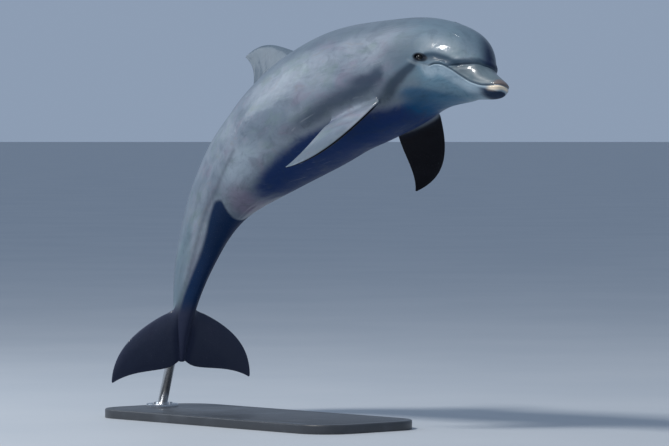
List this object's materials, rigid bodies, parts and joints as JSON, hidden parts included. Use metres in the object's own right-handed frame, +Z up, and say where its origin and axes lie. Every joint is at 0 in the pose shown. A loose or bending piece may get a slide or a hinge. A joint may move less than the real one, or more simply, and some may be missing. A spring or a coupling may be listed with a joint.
{
  "type": "bottlenose dolphin model on a display stand",
  "caption": "Life-size bottlenose dolphin in a leaping pose, body arched and fins spread, held by a rod on a flat display base.",
  "frame": {"origin": "middle of the underside of the stand's base", "axes": "+Z up, away from the floor; the nose points towards +X and -Y, the flukes lie towards -X and +Y"},
  "size_m": [1.5047, 1.7077, 1.5172],
  "materials": {
    "skin": "smooth wet grey skin, darker on the back, paler on the jaw and belly",
    "eye": "dark brown, wet and glossy",
    "stand_board": "satin charcoal paint",
    "stand_steel": "brushed steel"
  },
  "bodies": {
    "root": {"beak_upper": "skin", "lower_jaw": "skin", "head": "skin", "neck": "skin", "chest": "skin", "trunk": "skin", "loin": "skin", "tail_stock_front": "skin", "tail_stock_rear": "skin", "dorsal_fin": "skin", "flipper_left": "skin", "flipper_right": "skin", "fluke_left": "skin", "fluke_right": "skin", "eye_left": "eye", "eye_right": "eye", "stand_base": "stand_board", "stand_flange": "stand_steel", "stand_rod": "stand_steel"}
  },
  "joints": []
}
